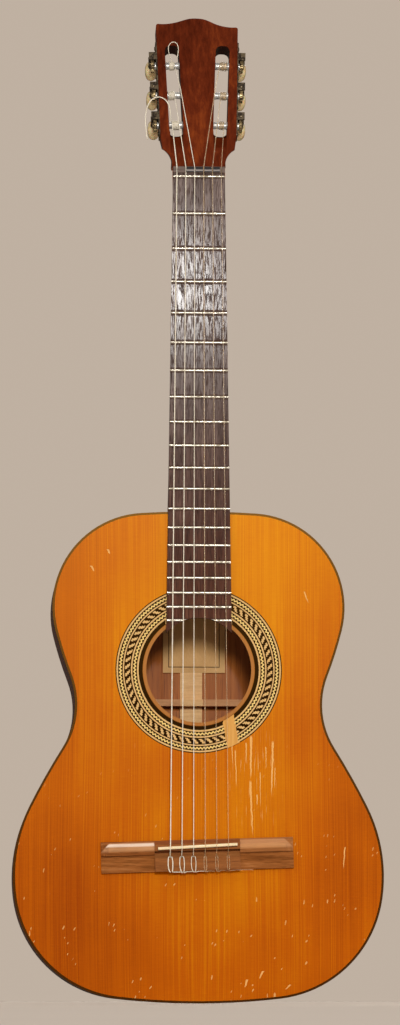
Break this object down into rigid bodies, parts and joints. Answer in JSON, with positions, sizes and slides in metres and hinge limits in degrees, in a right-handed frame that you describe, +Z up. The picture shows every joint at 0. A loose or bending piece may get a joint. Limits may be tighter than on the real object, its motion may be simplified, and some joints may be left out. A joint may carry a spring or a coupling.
{
  "type": "classical guitar",
  "caption": "Full-size classical guitar with a hollow waisted body, round soundhole and ring inlay, tie bridge, fretted neck and slotted headstock with geared tuners.",
  "frame": {"origin": "lowest edge of the soundboard's face on the centre line, at the tail of the body", "axes": "+Z up the neck towards the headstock, -Y the way the strings and soundboard face, +X towards the treble strings"},
  "size_m": [0.3564, 0.1148, 0.9654],
  "materials": {
    "soundboard_wood": "satin varnish",
    "rosette_inlay": "satin varnish",
    "body_wood": "gloss varnish",
    "binding_wood": "gloss varnish",
    "inner_wood": "raw",
    "label_paper": "matte",
    "neck_wood": "satin varnish",
    "head_veneer_wood": "gloss varnish",
    "fingerboard_wood": "oiled",
    "bridge_wood": "oiled",
    "fret_metal": "polished",
    "nut_material": "satin",
    "saddle_bone": "satin",
    "machine_metal": "tarnished nickel",
    "roller_metal": "polished",
    "gear_brass": "tarnished",
    "button_plastic": "gloss",
    "wound_string": "silver-plated winding",
    "nylon_string": "clear"
  },
  "bodies": {
    "root": {"soundboard": "soundboard_wood", "rosette": "rosette_inlay", "back": "body_wood", "rib_bass": "body_wood", "rib_treble": "body_wood", "end_graft": "binding_wood", "top_binding": "binding_wood", "back_binding": "binding_wood", "neck_block": "inner_wood", "tail_block": "inner_wood", "linings": "inner_wood", "soundboard_braces": "inner_wood", "back_braces": "inner_wood", "back_strip": "inner_wood", "label": "label_paper", "neck": "neck_wood", "heel_cap": "bridge_wood", "head_veneer": "head_veneer_wood", "fingerboard": "fingerboard_wood", "frets": "fret_metal", "nut": "nut_material", "bridge": "bridge_wood", "saddle": "saddle_bone", "tuner_plate_bass": "machine_metal", "tuner_plate_treble": "machine_metal", "plate_screws": "machine_metal", "string_e_low": "wound_string", "string_a": "wound_string", "string_d": "wound_string", "string_g": "nylon_string", "string_b": "nylon_string", "string_e_high": "nylon_string", "string_tail_d": "wound_string", "string_tail_e": "wound_string"},
    "winder_bass_1": {"roller_bass_1": "roller_metal", "gear_bass_1": "gear_brass"},
    "key_bass_1": {"worm_bass_1": "machine_metal", "button_bass_1": "button_plastic"},
    "winder_bass_2": {"roller_bass_2": "roller_metal", "gear_bass_2": "gear_brass"},
    "key_bass_2": {"worm_bass_2": "machine_metal", "button_bass_2": "button_plastic"},
    "winder_bass_3": {"roller_bass_3": "roller_metal", "gear_bass_3": "gear_brass"},
    "key_bass_3": {"worm_bass_3": "machine_metal", "button_bass_3": "button_plastic"},
    "winder_treble_1": {"roller_treble_1": "roller_metal", "gear_treble_1": "gear_brass"},
    "key_treble_1": {"worm_treble_1": "machine_metal", "button_treble_1": "button_plastic"},
    "winder_treble_2": {"roller_treble_2": "roller_metal", "gear_treble_2": "gear_brass"},
    "key_treble_2": {"worm_treble_2": "machine_metal", "button_treble_2": "button_plastic"},
    "winder_treble_3": {"roller_treble_3": "roller_metal", "gear_treble_3": "gear_brass"},
    "key_treble_3": {"worm_treble_3": "machine_metal", "button_treble_3": "button_plastic"}
  },
  "joints": [
    {"name": "key_turn_bass_1", "type": "hinge", "parent": "root", "child": "key_bass_1", "pos_m": [-0.04212, 0.02012, 0.8625], "axis": [0, 0.9703, -0.2419], "continuous": true},
    {"name": "winder_turn_bass_1", "type": "hinge", "parent": "root", "child": "winder_bass_1", "pos_m": [-0.03748, 0.01809, 0.85438], "axis": [-0.9996, -0.0069, -0.0275], "continuous": true},
    {"name": "key_turn_bass_2", "type": "hinge", "parent": "root", "child": "key_bass_2", "pos_m": [-0.04303, 0.02785, 0.89354], "axis": [0, 0.9703, -0.2419], "continuous": true},
    {"name": "winder_turn_bass_2", "type": "hinge", "parent": "root", "child": "winder_bass_2", "pos_m": [-0.03839, 0.02583, 0.88542], "axis": [-0.9996, -0.0069, -0.0275], "continuous": true},
    {"name": "key_turn_bass_3", "type": "hinge", "parent": "root", "child": "key_bass_3", "pos_m": [-0.04393, 0.03559, 0.92458], "axis": [0, 0.9703, -0.2419], "continuous": true},
    {"name": "winder_turn_bass_3", "type": "hinge", "parent": "root", "child": "winder_bass_3", "pos_m": [-0.03929, 0.03357, 0.91645], "axis": [-0.9996, -0.0069, -0.0275], "continuous": true},
    {"name": "key_turn_treble_1", "type": "hinge", "parent": "root", "child": "key_treble_1", "pos_m": [0.04212, 0.02012, 0.8625], "axis": [0, 0.9703, -0.2419], "continuous": true},
    {"name": "winder_turn_treble_1", "type": "hinge", "parent": "root", "child": "winder_treble_1", "pos_m": [0.03748, 0.01809, 0.85438], "axis": [0.9996, -0.0069, -0.0275], "continuous": true},
    {"name": "key_turn_treble_2", "type": "hinge", "parent": "root", "child": "key_treble_2", "pos_m": [0.04303, 0.02785, 0.89354], "axis": [0, 0.9703, -0.2419], "continuous": true},
    {"name": "winder_turn_treble_2", "type": "hinge", "parent": "root", "child": "winder_treble_2", "pos_m": [0.03839, 0.02583, 0.88542], "axis": [0.9996, -0.0069, -0.0275], "continuous": true},
    {"name": "key_turn_treble_3", "type": "hinge", "parent": "root", "child": "key_treble_3", "pos_m": [0.04393, 0.03559, 0.92458], "axis": [0, 0.9703, -0.2419], "continuous": true},
    {"name": "winder_turn_treble_3", "type": "hinge", "parent": "root", "child": "winder_treble_3", "pos_m": [0.03929, 0.03357, 0.91645], "axis": [0.9996, -0.0069, -0.0275], "continuous": true}
  ],
  "couplings": [
    {"joint": "winder_turn_bass_1", "follows": "key_turn_bass_1", "ratio": -0.071429},
    {"joint": "winder_turn_bass_2", "follows": "key_turn_bass_2", "ratio": -0.071429},
    {"joint": "winder_turn_bass_3", "follows": "key_turn_bass_3", "ratio": -0.071429},
    {"joint": "winder_turn_treble_1", "follows": "key_turn_treble_1", "ratio": 0.071429},
    {"joint": "winder_turn_treble_2", "follows": "key_turn_treble_2", "ratio": 0.071429},
    {"joint": "winder_turn_treble_3", "follows": "key_turn_treble_3", "ratio": 0.071429}
  ]
}
